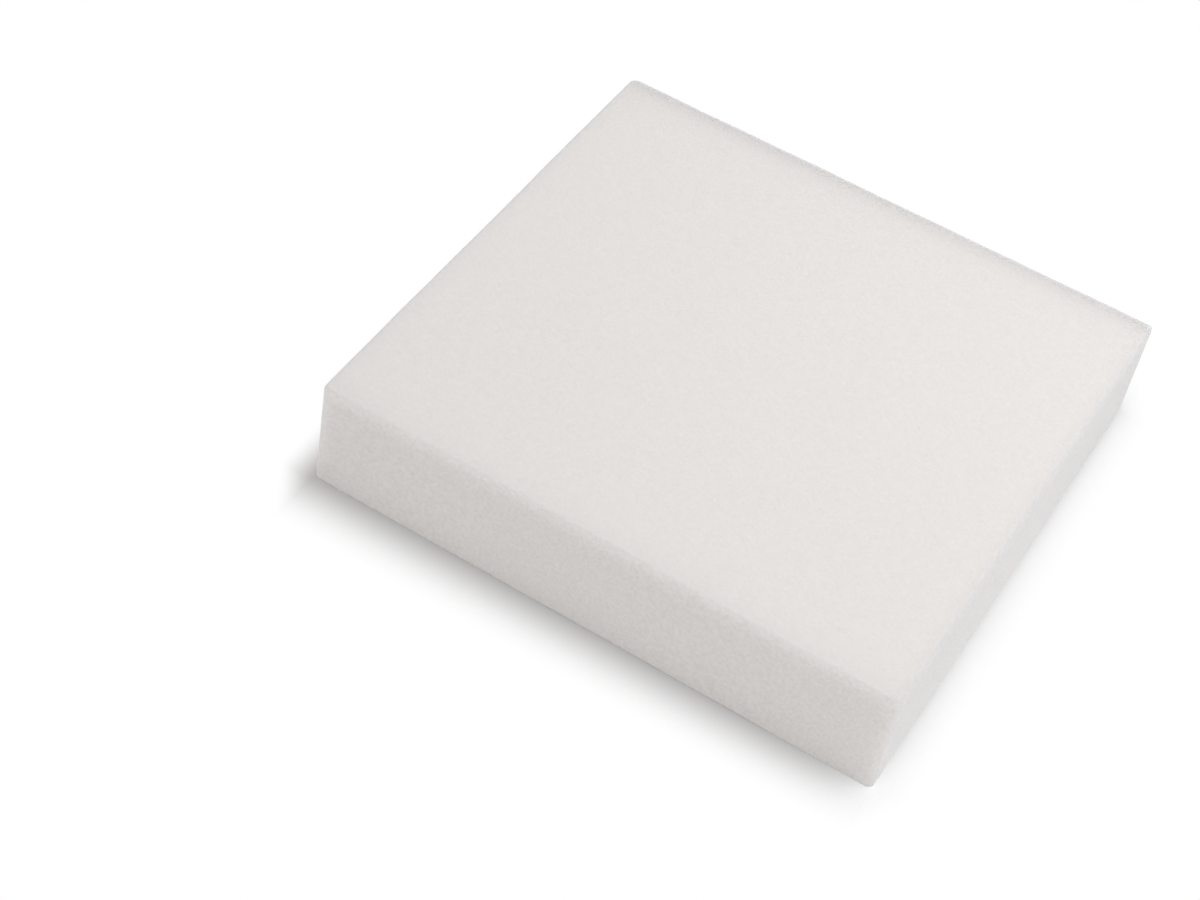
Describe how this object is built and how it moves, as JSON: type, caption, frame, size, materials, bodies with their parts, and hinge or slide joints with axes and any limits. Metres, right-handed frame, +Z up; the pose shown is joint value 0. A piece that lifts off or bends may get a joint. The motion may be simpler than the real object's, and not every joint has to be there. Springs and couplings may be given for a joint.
{
  "type": "felting foam pad",
  "caption": "Flat rectangular block of soft off-white open-cell foam with sawn sides, used as a work surface for needle felting.",
  "frame": {"origin": "middle of the underside, the flat face that the pad lies on", "axes": "+Z up through the thickness to the working face, +X along the length, +Y across the width from the front side to the back"},
  "size_m": [0.15, 0.145, 0.0305],
  "materials": {
    "foam": "soft open-cell polyurethane foam, sawn faces, off-white, fully matt with a fine even cell grain"
  },
  "bodies": {
    "root": {"foam_pad": "foam"}
  },
  "joints": []
}
